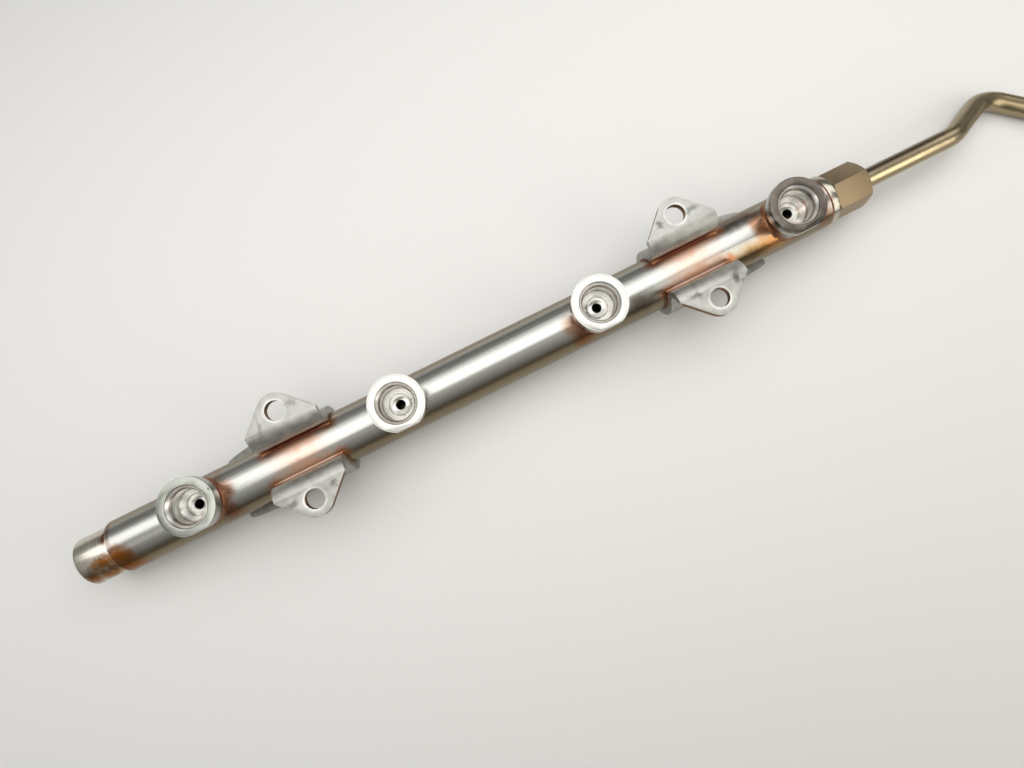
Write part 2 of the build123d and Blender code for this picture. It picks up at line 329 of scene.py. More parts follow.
def make_camera(sizes):
    """Looks down on the rail, turned so that it runs up to the right."""
    lean_x, lean_y = sizes.lean
    to_camera = Matrix.Rotation(sizes.roll, 3, "Z")
    to_camera @= Matrix.Rotation(lean_x, 3, "X") @ Matrix.Rotation(lean_y, 3, "Y")
    data = bpy.data.cameras.new("camera")
    data.lens = sizes.lens
    data.sensor_width = 36.0
    data.clip_start = 0.01
    camera = bpy.data.objects.new("camera", data)
    camera.matrix_world = Matrix.Translation(sizes.eye) @ to_camera.transposed().to_4x4()
    bpy.context.scene.collection.objects.link(camera)
    bpy.context.scene.camera = camera


def make_lamp(name, place, size, watts, colour):
    """A softbox, with its size along and across the rail, that leans over to face the rail."""
    data = bpy.data.lights.new(name, "AREA")
    data.shape = "RECTANGLE"
    data.size, data.size_y = size
    data.energy = watts
    data.color = linear(colour)[:3]
    lamp = bpy.data.objects.new(name, data)
    lean = atan2(place[1], place[2] - AXIS_MM * MM)
    lamp.matrix_world = Matrix.Translation(place) @ Matrix.Rotation(-lean, 4, "X")
    bpy.context.scene.collection.objects.link(lamp)


def matte_paper(colour):
    """Pale matte paper sweep: no gloss, with a faint tooth of about 2.5 mm so that it shows."""
    material, tree, in_mm = new_material("matte_paper")
    tooth = add(tree, "ShaderNodeTexNoise", {"Vector": in_mm, "Scale": 0.4, "Detail": 6.0})
    bump = add(tree, "ShaderNodeBump", {"Strength": 0.04, "Distance": 0.5 * MM, "Height": tooth})
    paper = add(tree, "ShaderNodeBsdfPrincipled",
                {"Base Color": colour, "Roughness": 0.85, "Normal": bump})
    add(tree, "ShaderNodeOutputMaterial", {"Surface": paper})
    return material


def studio_room(sizes):
    """A plain room that is dimmer at its walls than at its ceiling, so that metal has contrast."""
    world = bpy.data.worlds.new("studio_room")
    world.use_nodes = True
    tree = world.node_tree
    tree.nodes.clear()
    look = add(tree, "ShaderNodeTexCoord")
    part = add(tree, "ShaderNodeSeparateXYZ", {0: look.outputs["Generated"]})
    level = add(tree, "ShaderNodeMapRange",
                {"Value": part.outputs["Z"], 1: 0.0, 2: 1.0, 3: sizes.horizon, 4: sizes.ceiling})
    room = add(tree, "ShaderNodeBackground", {"Color": linear("#F6F5F2"), "Strength": level})
    add(tree, "ShaderNodeOutputWorld", {"Surface": room})
    return world


class FUELRAIL_OT_stage(bpy.types.Operator):
    """Floor, lamps, surroundings and camera"""
    bl_idname = "fuelrail.stage"
    bl_label = "Stage"

    def execute(self, context):
        sizes = context.scene.fuelrail_stage
        make_camera(sizes)
        bm = bmesh.new()
        bmesh.ops.create_grid(bm, x_segments=1, y_segments=1, size=3.0)
        bmesh.ops.translate(bm, verts=bm.verts, vec=(0, 0, CAD_BOX[0][2]))
        floor = mesh_object("floor", bm)
        dress(floor, matte_paper(sizes.floor_colour))
        # each softbox: its name, middle, size along and across the rail, power and colour
        for name, place, size, watts, colour in (
                ("key_softbox", (0.10, 0.165, 0.30), (1.20, 0.24), sizes.key, "#FFFFFF"),
                ("top_softbox", (0.015, 0.0, 0.30), (0.52, 0.115), sizes.top, "#FFFFFF"),
                ("side_softbox", (0.55, -0.45, 0.36), (0.50, 0.60), sizes.side, "#FFFAF0"),
                ("fill_softbox", (-0.35, -0.33, 0.90), (1.40, 0.32), sizes.fill, "#FFFAF2")):
            make_lamp(name, place, size, watts, colour)
        context.scene.world = studio_room(sizes)
        context.scene.view_settings.view_transform = "Standard"
        return {"FINISHED"}


# ---- rail tube ----------------------------------------------------------------------------------
def drawn_stainless(colours):
    """Drawn stainless tube, furnace-brazed: satin lines along it, copper blush by the joints."""
    material, tree, in_mm = new_material("drawn_stainless_tube")
    # drawing lines are a few hundredths wide; these are 0.5 mm, as coarse as they need to show
    lines = add(tree, "ShaderNodeMapping", {"Vector": in_mm, "Scale": (0.012, 2.0, 2.0)})
    grain = add(tree, "ShaderNodeTexNoise", {"Vector": lines, "Scale": 1.0, "Detail": 5.0})
    # stains end in lobes of about 4 mm
    cloud = add(tree, "ShaderNodeTexNoise", {"Vector": in_mm, "Scale": 0.25, "Detail": 6.0})
    ragged = add(tree, "ShaderNodeMapRange", {"Value": cloud, **NOISE_SPAN, 3: -0.05, 4: 0.45})
    # the sides are painted darker and straw-brown as painted shade, for the dark surroundings they
    # reflect; a strip along the top stays lighter as a painted highlight
    part = add(tree, "ShaderNodeSeparateXYZ", {0: in_mm})
    highlit = add(tree, "ShaderNodeMath", {0: part.outputs["Y"], 1: 0.12, 2: part.outputs["Z"]},
                 operation="MULTIPLY_ADD")
    side = add(tree, "ShaderNodeMapRange",
               {"Value": highlit, 1: AXIS_MM + 6.0, 2: AXIS_MM + 9.9, 3: 1.0, 4: 0.0},
               interpolation_type="SMOOTHSTEP")
    lit_top_steel = tint(tree, linear("#B2B2AC"), colours.tube_top, grain)
    shaded_side_steel = tint(tree, linear("#6F6550"), colours.tube_sides, grain)
    steel = tint(tree, lit_top_steel, shaded_side_steel, side)
    first, _, third, fourth = CUP_X_MM
    shoulder = AXIS_MM + 7.0
    # copper that ran out of the cups' and the plug's joints, with darker patches on the flanks;
    # the one right of the third cup is painted shade
    steel = stain(tree, steel, in_mm, ragged, [
        ("#A5694A", 0.85, (first + 9.0, -1.0, shoulder), (2.6, 9.0, 7.0)),
        ("#BE8C72", 0.85, (first + 10.0, 0.5, TUBE_TOP_MM - 0.5), (4.2, 3.6, 3.0)),
        ("#5E3A2A", 0.65, (first + 8.0, -7.5, shoulder - 2.0), (5.0, 3.5, 5.0)),
        ("#A67C5C", 0.8, (third - 11.0, -2.5, shoulder + 2.0), (4.5, 5.0, 4.0)),
        ("#7B5030", 0.9, (third - 8.5, -6.5, shoulder - 0.5), (5.0, 4.6, 6.0)),
        ("#B07C57", 0.85, (fourth - 11.5, 1.0, TUBE_TOP_MM), (4.0, 9.0, 6.0)),
        ("#B57C42", 0.85, (fourth - 8.0, -6.5, shoulder), (11.0, 3.0, 6.0)),
        ("#A98A5C", 0.65, (fourth - 19.0, -5.0, shoulder), (9.0, 3.0, 5.0)),
        # darker patches on both flanks left of the fourth cup
        ("#4E3C26", 0.85, (fourth - 20.0, -8.4, shoulder + 0.5), (10.0, 2.8, 3.4)),
        ("#5C4A36", 0.8, (fourth - 21.0, 7.4, shoulder), (12.0, 4.2, 6.0)),
        # painted shade: a dark patch on the near flank right of the third cup
        ("#4A4034", 0.8, (third + 17.5, -5.4, shoulder + 1.5), (7.0, 4.0, 4.0)),
        ("#7C4D36", 0.85, (INLET_MM - 5.0, 0.0, shoulder), (4.5, 10.0, 9.0)),
        ("#7A4520", 0.85, (SEAM_MM + 0.9, 1.0, AXIS_MM), (1.2, 12.0, 12.0)),
        ("#94683A", 0.8, (SEAM_MM + 3.0, -5.2, shoulder), (6.4, 5.0, 6.0)),
        ("#94591F", 1.0, (SEAM_MM + 2.6, -3.6, shoulder + 1.6), (4.4, 3.4, 4.0)),
        ("#7E4A18", 1.0, (SEAM_MM + 4.0, -8.4, AXIS_MM + 4.0), (6.0, 3.4, 5.0)),
    ])
    # the same copper blush at both brackets
    by_bracket = from_brackets(tree, in_mm)
    steel = stain(tree, steel, by_bracket, ragged, [
        ("#CB9474", 0.95, (0.0, 5.8, shoulder + 1.0), (13.0, 4.2, 4.0)),
        ("#CFAA92", 0.5, (0.0, 0.0, TUBE_TOP_MM), (11.0, 6.0, 4.0)),
        ("#B9764E", 0.85, (13.6, 6.2, AXIS_MM + 8.4), (3.2, 2.4, 2.4)),
    ])
    # the film of copper scatters more light than the bare tube
    film = stain(tree, linear("#000000"), by_bracket, ragged, [
        ("#FFFFFF", 1.0, (0.0, 5.6, shoulder + 1.0), (12.5, 3.8, 4.0)),
    ])
    satin = add(tree, "ShaderNodeMapRange", {"Value": grain, **NOISE_SPAN, 3: 0.24, 4: 0.31})
    rough = add(tree, "ShaderNodeMath", {0: film, 1: 0.2, 2: satin}, operation="MULTIPLY_ADD")
    bump = add(tree, "ShaderNodeBump", {"Strength": 0.03, "Distance": 0.04 * MM, "Height": grain})
    metal(tree, steel, rough, bump)
    return material


class FUELRAIL_OT_rail_tube(bpy.types.Operator):
    """Satin drawn finish with heat tints on the rail tube"""
    bl_idname = "fuelrail.rail_tube"
    bl_label = "Rail Tube"

    def execute(self, context):
        smooth(NODES["rail_tube"])
        dress(NODES["rail_tube"], drawn_stainless(context.scene.fuelrail_finishes))
        return {"FINISHED"}


# ---- injector cups ------------------------------------------------------------------------------
def turned_stainless(colours):
    """Turned stainless bar: fine tool rings, bores painted bright as painted light, nicked rims,
    copper at the foot.
    """
    material, tree, in_mm = new_material("turned_stainless_bar")
    part = add(tree, "ShaderNodeSeparateXYZ", {0: in_mm})
    first, _, third, fourth = CUP_X_MM
    # each place's radius from its own cup's axis and its depth under the rims
    wrapped = add(tree, "ShaderNodeMath",
                  {0: part.outputs["X"], 1: first + CUP_PITCH_MM / 2, 2: first - CUP_PITCH_MM / 2},
                  operation="WRAP")
    from_axis = add(tree, "ShaderNodeMath", {0: wrapped, 1: first}, operation="SUBTRACT")
    flat = add(tree, "ShaderNodeCombineXYZ", {"X": from_axis, "Y": part.outputs["Y"]})
    radius = add(tree, "ShaderNodeVectorMath", {0: flat}, operation="LENGTH").outputs["Value"]
    depth = add(tree, "ShaderNodeMath", {0: RIM_TOP_MM, 1: part.outputs["Z"]},
                operation="SUBTRACT")
    along = add(tree, "ShaderNodeMath", {0: depth, 1: 0.8, 2: radius}, operation="MULTIPLY_ADD")
    # tool rings of about 0.4 mm, on faces and walls alike
    rings = add(tree, "ShaderNodeTexNoise", {"W": along, "Scale": 2.2, "Detail": 3.0},
                noise_dimensions="1D")
    # stains end in lobes of about 3 mm
    cloud = add(tree, "ShaderNodeTexNoise", {"Vector": in_mm, "Scale": 0.3, "Detail": 6.0})
    ragged = add(tree, "ShaderNodeMapRange", {"Value": cloud, **NOISE_SPAN, 3: -0.05, 4: 0.5})
    mixed = add(tree, "ShaderNodeMapRange", {"Value": rings, **NOISE_SPAN, 3: 0.0, 4: 1.0})
    steel = tint(tree, linear("#A09F99"), colours.cups, mixed)
    # the first rim is painted dull grey-green and the last one dark brown: partly tarnish, partly
    # painted shade for the light these rims don't reflect
    steel = stain(tree, steel, in_mm, ragged, [
        ("#4A4138", 0.9, (fourth, 0.0, RIM_TOP_MM), (30.0, 30.0, 2.4)),
        ("#90938A", 0.75, (first, 0.0, RIM_TOP_MM), (30.0, 30.0, 2.4)),
        ("#3C332C", 0.9, (first + 9.9, 2.2, RIM_TOP_MM), (0.35, 0.5, 0.6)),
        ("#6F7263", 0.6, (first - 5.0, 7.5, RIM_TOP_MM), (4.0, 1.2, 0.8)),
    ])
    # the lead-in, the bore's wall and the funnel are painted near-white: painted light standing in
    # for light that reaches into the bore
    mouth = BORE_R_MM + LEAD_IN_MM
    painted_bright_inside = add(tree, "ShaderNodeMapRange",
                 {"Value": radius, 1: mouth - 0.3, 2: mouth - 0.1, 3: 1.0, 4: 0.0},
                 interpolation_type="SMOOTHSTEP")
    steel = tint(tree, steel, linear("#F1F0EC"), painted_bright_inside)
    # brown rings: faint at the wall's foot, the mouth and half-way down the funnel, and strong
    # where the lead-in meets the bore
    foot_ring = add(tree, "ShaderNodeMath",
                    {0: band(tree, depth, BORE_DEPTH_MM, 0.25), 1: painted_bright_inside}, operation="MULTIPLY")
    thin_rings = add(tree, "ShaderNodeMath",
                     {0: band(tree, radius, mouth - 0.1, 0.1),
                      1: band(tree, radius, 0.65 * BORE_R_MM, 0.15)}, operation="MAXIMUM")
    faint = add(tree, "ShaderNodeMath", {0: foot_ring, 1: thin_rings}, operation="MAXIMUM")
    faint = add(tree, "ShaderNodeMath", {0: faint, 1: 0.7}, operation="MULTIPLY")
    near_rim = add(tree, "ShaderNodeMapRange", {"Value": depth, 1: 2.3, 2: 3.0, 3: 1.0, 4: 0.0},
                   interpolation_type="SMOOTHSTEP")
    strong = add(tree, "ShaderNodeMath",
                 {0: band(tree, radius, BORE_R_MM + 0.2, 0.2), 1: near_rim}, operation="MULTIPLY")
    brown = add(tree, "ShaderNodeMath", {0: faint, 1: strong}, operation="MAXIMUM")
    uneven = add(tree, "ShaderNodeMapRange", {"Value": cloud, **NOISE_SPAN, 3: 0.5, 4: 1.0})
    steel = tint(tree, steel, linear("#66503A"), brown, uneven)
    steel = stain(tree, steel, in_mm, ragged, [
        ("#B98A68", 0.9, (fourth - 9.0, -3.0, FOOT_MM + 2.0), (4.0, 8.0, 5.0)),
        ("#B07A55", 0.9, (fourth + 9.0, -1.0, FOOT_MM + 2.0), (4.0, 9.0, 5.0)),
        ("#9A6240", 0.7, (first + 9.0, -1.0, FOOT_MM), (2.5, 7.0, 2.5)),
        ("#83583A", 0.6, (third - 7.0, -5.0, FOOT_MM), (4.0, 4.0, 2.5)),
    ])
    # small nicks from handling, about 0.3 mm across
    scars = add(tree, "ShaderNodeTexNoise", {"Vector": in_mm, "Scale": 1.6, "Detail": 2.0})
    nick = add(tree, "ShaderNodeMapRange", {"Value": scars, 1: 0.27, 2: 0.33, 3: 1.0, 4: 0.0},
               interpolation_type="SMOOTHSTEP")
    height = add(tree, "ShaderNodeMath", {0: nick, 1: -0.6, 2: rings}, operation="MULTIPLY_ADD")
    rough = add(tree, "ShaderNodeMapRange", {"Value": rings, **NOISE_SPAN, 3: 0.22, 4: 0.36})
    bump = add(tree, "ShaderNodeBump", {"Strength": 0.12, "Distance": 0.08 * MM, "Height": height})
    metal(tree, steel, rough, bump)
    return material


def copper_braze(colours):
    """Copper run round the joints in the furnace: brown-red, pink where it is a thin skin, dark as
    painted shade in the groove on one side under the ears.
    """
    material, tree, in_mm = new_material("copper_braze")
    # drops and lobes of about 3 mm
    cloud = add(tree, "ShaderNodeTexNoise", {"Vector": in_mm, "Scale": 0.35, "Detail": 6.0})
    ragged = add(tree, "ShaderNodeMapRange", {"Value": cloud, **NOISE_SPAN, 3: -0.1, 4: 0.75})
    mixed = add(tree, "ShaderNodeMapRange", {"Value": cloud, **NOISE_SPAN, 3: 0.0, 4: 1.0})
    copper = tint(tree, linear("#6F4A38"), colours.copper, mixed)
    # under the ears' bends it is a thin pink skin on one side and dark brown-red on the other:
    # braze, darkened as painted shade in the groove under the bend
    part = add(tree, "ShaderNodeSeparateXYZ", {0: in_mm})
    painted_groove_shade = add(tree, "ShaderNodeMapRange",
                 {"Value": part.outputs["Y"], 1: 5.9, 2: 5.3, 3: 1.0, 4: 0.0},
                 interpolation_type="SMOOTHSTEP")
    skin_and_painted_shade = tint(tree, linear("#A38776"), linear("#5A3024"), painted_groove_shade)
    by_bracket = add(tree, "ShaderNodeSeparateXYZ", {0: from_brackets(tree, in_mm)})
    by_ear = add(tree, "ShaderNodeMapRange",
                 {"Value": by_bracket.outputs["X"], 1: 9.0, 2: 14.0, 3: 1.0, 4: 0.0},
                 interpolation_type="SMOOTHSTEP")
    copper = tint(tree, copper, skin_and_painted_shade, by_ear)
    first, second, third, _ = CUP_X_MM
    # round the second and third cups the joint was wiped nearly clean
    copper = stain(tree, copper, in_mm, ragged, [
        ("#8D8470", 0.9, (second, 0.0, FOOT_MM), (9.0, 9.0, 6.0)),
        ("#8D8470", 0.9, (third + 4.0, 3.0, FOOT_MM), (8.0, 9.0, 6.0)),
        ("#8D8470", 0.8, (first - 7.0, 0.0, FOOT_MM), (5.0, 9.0, 6.0)),
    ])
    rough = add(tree, "ShaderNodeMapRange", {"Value": cloud, **NOISE_SPAN, 3: 0.35, 4: 0.5})
    bump = add(tree, "ShaderNodeBump", {"Strength": 0.3, "Distance": 0.2 * MM, "Height": cloud})
    metal(tree, copper, rough, bump)
    return material


class FilletSizes(bpy.types.PropertyGroup):
    """Braze fillet round each cup's foot."""
    along: bpy.props.FloatProperty(
        name="Width Along", description="Reach of the fillet along the tube", unit="LENGTH",
        default=2.4 * MM)
    across: bpy.props.FloatProperty(
        name="Width Across", description="Reach of the fillet down the tube's sides",
        unit="LENGTH", default=0.8 * MM)
    height: bpy.props.FloatProperty(
        name="Height", description="Climb of the fillet up the cup's wall", unit="LENGTH",
        default=1.3 * MM)
    unevenness: bpy.props.FloatProperty(
        name="Unevenness", description="Depth of the waves in the braze", unit="LENGTH",
        default=0.35 * MM)


FILLET_STEPS = 8        # points across a fillet's hollow front
FILLET_TURNS = 96       # faces round a fillet


def fillet_tree(finish):
    """Geometry Nodes tree: a hollow ring of braze where a cup stands on the tube, at each cup."""
    tree = bpy.data.node_groups.new("cup_fillets", "GeometryNodeTree")
    ask = tree.interface.new_socket
    ask("Geometry", in_out="OUTPUT", socket_type="NodeSocketGeometry")
    for name in ("Cup Radius", "Tube Radius", "First Cup", "Pitch", "Axis Height",
                 "Width Along", "Width Across", "Height", "Unevenness"):
        ask(name, in_out="INPUT", socket_type="NodeSocketFloat")
    size = add(tree, "NodeGroupInput").outputs

    # a grid whose X runs round the cup and whose Y steps across the fillet and back behind it
    grid = add(tree, "GeometryNodeMeshGrid",
               {"Size X": 1.0, "Size Y": 1.0, "Vertices X": FILLET_TURNS + 1,
                "Vertices Y": FILLET_STEPS + 2})
    place = add(tree, "ShaderNodeSeparateXYZ", {0: add(tree, "GeometryNodeInputPosition")})
    angle = add(tree, "ShaderNodeMath", {0: place.outputs["X"], 1: 2 * pi, 2: pi},
                operation="MULTIPLY_ADD")
    step = add(tree, "ShaderNodeMath",
               {0: place.outputs["Y"], 1: FILLET_STEPS + 1.0, 2: (FILLET_STEPS + 1.0) / 2},
               operation="MULTIPLY_ADD")
    behind = add(tree, "ShaderNodeMath", {0: step, 1: float(FILLET_STEPS), 2: 0.5},
                 operation="COMPARE")
    back_at_start = add(tree, "ShaderNodeMath", {0: step, 1: FILLET_STEPS + 0.5},
                        operation="GREATER_THAN")
    # how far across the hollow front a point lies: 0 at the cup's wall, 1 on the tube
    front = add(tree, "ShaderNodeMath", {0: 1.0, 1: back_at_start}, operation="SUBTRACT")
    share = add(tree, "ShaderNodeMath", {0: step, 1: FILLET_STEPS - 1.0}, operation="DIVIDE")
    share = add(tree, "ShaderNodeMath", {0: share, 1: front}, operation="MULTIPLY")
    left = add(tree, "ShaderNodeMath", {0: 1.0, 1: share}, operation="SUBTRACT")
    left = add(tree, "ShaderNodeMath", {0: left, 1: 0.0}, operation="MAXIMUM")
    out = add(tree, "ShaderNodeMath", {0: share, 1: 2.0}, operation="POWER")
    climb = add(tree, "ShaderNodeMath", {0: left, 1: 2.0}, operation="POWER")
    # the fillet reaches further along the tube than down its sides
    cosine = add(tree, "ShaderNodeMath", {0: angle}, operation="COSINE")
    sine = add(tree, "ShaderNodeMath", {0: angle}, operation="SINE")
    facing = add(tree, "ShaderNodeMath", {0: cosine}, operation="ABSOLUTE")
    facing = add(tree, "ShaderNodeMath", {0: facing, 1: 2.0}, operation="POWER")
    extra = add(tree, "ShaderNodeMath", {0: size["Width Along"], 1: size["Width Across"]},
                operation="SUBTRACT")
    reach = add(tree, "ShaderNodeMath", {0: extra, 1: facing, 2: size["Width Across"]},
                operation="MULTIPLY_ADD")
    out = add(tree, "ShaderNodeMath", {0: reach, 1: out}, operation="MULTIPLY")
    climb = add(tree, "ShaderNodeMath", {0: size["Height"], 1: climb}, operation="MULTIPLY")
    # its back is sunk into the cup and the tube
    sink = 0.1 * MM
    proud = add(tree, "ShaderNodeMath", {0: out, 1: sink}, operation="SUBTRACT")
    proud = add(tree, "ShaderNodeMath", {0: size["Cup Radius"], 1: proud}, operation="ADD")
    sunk = add(tree, "ShaderNodeMath", {0: size["Cup Radius"], 1: 4 * sink},
               operation="SUBTRACT")
    radius = add(tree, "GeometryNodeSwitch", {0: behind, 1: proud, 2: sunk}, input_type="FLOAT")
    x = add(tree, "ShaderNodeMath", {0: radius, 1: cosine}, operation="MULTIPLY")
    y = add(tree, "ShaderNodeMath", {0: radius, 1: sine}, operation="MULTIPLY")
    # the tube's skin under each point
    tube_square = add(tree, "ShaderNodeMath", {0: size["Tube Radius"], 1: 2.0},
                      operation="POWER")
    side_square = add(tree, "ShaderNodeMath", {0: y, 1: 2.0}, operation="POWER")
    square = add(tree, "ShaderNodeMath", {0: tube_square, 1: side_square}, operation="SUBTRACT")
    square = add(tree, "ShaderNodeMath", {0: square, 1: 0.0}, operation="MAXIMUM")
    skin = add(tree, "ShaderNodeMath", {0: square}, operation="SQRT")
    skin = add(tree, "ShaderNodeMath", {0: skin, 1: sink}, operation="SUBTRACT")
    high = add(tree, "ShaderNodeMath", {0: skin, 1: climb}, operation="ADD")
    low = add(tree, "ShaderNodeMath", {0: skin, 1: 3 * sink}, operation="SUBTRACT")
    up = add(tree, "GeometryNodeSwitch", {0: behind, 1: high, 2: low}, input_type="FLOAT")
    ring = add(tree, "GeometryNodeSetPosition",
               {"Geometry": grid.outputs["Mesh"],
                "Position": add(tree, "ShaderNodeCombineXYZ", {"X": x, "Y": y, "Z": up})})
    closed = add(tree, "GeometryNodeMergeByDistance",
                 {"Geometry": ring, "Distance": 0.0001 * MM})
    start = add(tree, "ShaderNodeCombineXYZ", {"X": size["First Cup"], "Z": size["Axis Height"]})
    stride = add(tree, "ShaderNodeCombineXYZ", {"X": size["Pitch"]})
    stations = add(tree, "GeometryNodeMeshLine",
                   {"Count": len(CUP_NODES), "Start Location": start, "Offset": stride})
    rings = add(tree, "GeometryNodeInstanceOnPoints", {"Points": stations, "Instance": closed})
    real = add(tree, "GeometryNodeRealizeInstances", {"Geometry": rings})
    # waves of about 3 mm, different at each cup because they are read where the ring stands;
    # they sink the braze a little more than they raise it
    waves = add(tree, "ShaderNodeTexNoise", {"Scale": 330.0, "Detail": 2.0})
    lift = add(tree, "ShaderNodeMath", {0: waves, 1: 0.55}, operation="SUBTRACT")
    lift = add(tree, "ShaderNodeMath", {0: lift, 1: size["Unevenness"]}, operation="MULTIPLY")
    moved = add(tree, "ShaderNodeVectorMath",
                {0: add(tree, "GeometryNodeInputNormal"), "Scale": lift}, operation="SCALE")
    uneven = add(tree, "GeometryNodeSetPosition", {"Geometry": real, "Offset": moved})
    soft = add(tree, "GeometryNodeSetShadeSmooth", {"Geometry": uneven})
    dressed = add(tree, "GeometryNodeSetMaterial", {"Geometry": soft, "Material": finish})
    add(tree, "NodeGroupOutput", {"Geometry": dressed})
    return tree


def cup_fillets(finish, sizes):
    """Runs the fillet tree and stands its mesh in the place of the plain beads."""
    obj = mesh_object("cup_fillets", bmesh.new())
    modifier = obj.modifiers.new("fillets", "NODES")
    modifier.node_group = fillet_tree(finish)
    bead = 0.8 * MM                             # the plain bead that the fillets replace
    low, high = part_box("cup_braze")
    cup_radius = (high.x - low.x - (CUP_X_MM[3] - CUP_X_MM[0]) * MM) / 2 - bead
    values = {
        "Cup Radius": cup_radius, "Tube Radius": TUBE_R_MM * MM,
        "First Cup": CUP_X_MM[0] * MM, "Pitch": CUP_PITCH_MM * MM, "Axis Height": AXIS_MM * MM,
        "Width Along": sizes.along, "Width Across": sizes.across, "Height": sizes.height,
        "Unevenness": sizes.unevenness,
    }
    for socket in modifier.node_group.interface.items_tree:
        if socket.in_out == "INPUT":
            modifier[socket.identifier] = values[socket.name]
    applied(obj)
    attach(obj, "root")
    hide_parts("cup_braze")


class FUELRAIL_OT_injector_cups(bpy.types.Operator):
    """Turned finish and rounded edges on the four injector cups"""
    bl_idname = "fuelrail.injector_cups"
    bl_label = "Injector Cups"

    def execute(self, context):
        finish = turned_stainless(context.scene.fuelrail_finishes)
        for node in CUP_NODES:
            dress(rounded(node, context.scene.fuelrail_edges.cups), finish)
        return {"FINISHED"}


class FUELRAIL_OT_braze(bpy.types.Operator):
    """Uneven braze fillets round the cups, and the braze's finish everywhere"""
    bl_idname = "fuelrail.braze"
    bl_label = "Braze"

    def execute(self, context):
        finish = copper_braze(context.scene.fuelrail_finishes)
        cup_fillets(finish, context.scene.fuelrail_fillets)
        for node in ("bracket_braze", "tube_end_braze"):
            smooth(NODES[node])
            dress(NODES[node], finish)
        return {"FINISHED"}


# ---- brackets -----------------------------------------------------------------------------------
def pickled_sheet(colours):
    """Pressed sheet, pickled after brazing: pale satin grey, dark rubs, sheared edges painted
    brown, partly as painted shade.
    """
    material, tree, in_mm = new_material("pickled_steel_sheet")
    # clouds of about 3 mm
    cloud = add(tree, "ShaderNodeTexNoise", {"Vector": in_mm, "Scale": 0.3, "Detail": 7.0})
    ragged = add(tree, "ShaderNodeMapRange", {"Value": cloud, **NOISE_SPAN, 3: -0.3, 4: 1.0})
    mixed = add(tree, "ShaderNodeMapRange", {"Value": cloud, **NOISE_SPAN, 3: 0.0, 4: 1.0})
    sheet = tint(tree, linear("#9C9B95"), colours.brackets, mixed)
    left, right, hole = -BRACKET_X_MM, BRACKET_X_MM, HOLE_Y_MM
    # dark rubs left by the press and the screws' washers
    sheet = stain(tree, sheet, in_mm, ragged, [
        ("#5E5F5E", 0.8, (right - 7.3, hole - 0.6, 0.0), (1.6, 2.2, 1.0)),
        ("#6A6B6D", 0.7, (right + 6.5, hole - 0.8, 0.0), (3.2, 1.3, 1.0)),
        ("#504E4B", 0.8, (right + 9.6, -hole + 4.2, 0.0), (1.8, 2.4, 1.0)),
        ("#62635F", 0.75, (right - 7.8, -hole + 4.6, 0.0), (2.4, 1.2, 1.0)),
        ("#5A5854", 0.8, (left + 8.6, -hole + 2.6, 0.0), (1.5, 2.6, 1.0)),
        ("#62635F", 0.75, (left - 8.4, -hole + 1.7, 0.0), (3.2, 1.1, 1.0)),
        ("#74746F", 0.7, (left + 6.4, hole + 0.2, 0.0), (2.6, 2.0, 1.0)),
        ("#6C6C67", 0.7, (left - 7.6, hole - 2.2, 0.0), (1.2, 2.6, 1.0)),
    ])
    # the screws' washers polished a ring round each hole
    by_bracket = add(tree, "ShaderNodeSeparateXYZ", {0: from_brackets(tree, in_mm)})
    flat = add(tree, "ShaderNodeCombineXYZ",
               {"X": by_bracket.outputs["X"], "Y": by_bracket.outputs["Y"]})
    from_hole = add(tree, "ShaderNodeVectorMath", {0: flat, 1: (0.0, hole, 0.0)},
                    operation="DISTANCE").outputs["Value"]
    uneven = add(tree, "ShaderNodeMapRange", {"Value": cloud, **NOISE_SPAN, 3: 0.15, 4: 0.75})
    sheet = tint(tree, sheet, linear("#DCDCD7"), band(tree, from_hole, HOLE_R_MM, 0.55), uneven)
    # the sheared edges of the ears are painted brown: partly the furnace's brown, partly painted
    # shade on the cut faces
    normal = add(tree, "ShaderNodeNewGeometry").outputs["Normal"]
    facing = add(tree, "ShaderNodeSeparateXYZ", {0: normal})
    level = add(tree, "ShaderNodeMath", {0: facing.outputs["Z"]}, operation="ABSOLUTE")
    sheared = add(tree, "ShaderNodeMapRange", {"Value": level, 1: 0.35, 2: 0.6, 3: 1.0, 4: 0.0},
                  interpolation_type="SMOOTHSTEP")
    ear = add(tree, "ShaderNodeMapRange",
              {"Value": by_bracket.outputs["Y"], 1: HOLE_Y_MM - 3.5, 2: HOLE_Y_MM - 4.5,
               3: 1.0, 4: 0.0}, interpolation_type="SMOOTHSTEP")
    sheet = tint(tree, sheet, linear("#7A5C40"), sheared, ear)
    # a pickled skin's grit is finer; this is 0.4 mm, as coarse as it needs to show
    grit = add(tree, "ShaderNodeTexNoise", {"Vector": in_mm, "Scale": 2.5, "Detail": 4.0})
    rough = add(tree, "ShaderNodeMapRange", {"Value": cloud, **NOISE_SPAN, 3: 0.42, 4: 0.56})
    bump = add(tree, "ShaderNodeBump", {"Strength": 0.12, "Distance": 0.1 * MM, "Height": grit})
    metal(tree, sheet, rough, bump)
    return material


class FUELRAIL_OT_brackets(bpy.types.Operator):
    """Pickled finish and rolled edges on the two mounting brackets"""
    bl_idname = "fuelrail.brackets"
    bl_label = "Mounting Brackets"

    def execute(self, context):
        finish = pickled_sheet(context.scene.fuelrail_finishes)
        for node in BRACKET_NODES:
            dress(rounded(node, context.scene.fuelrail_edges.brackets), finish)
        return {"FINISHED"}


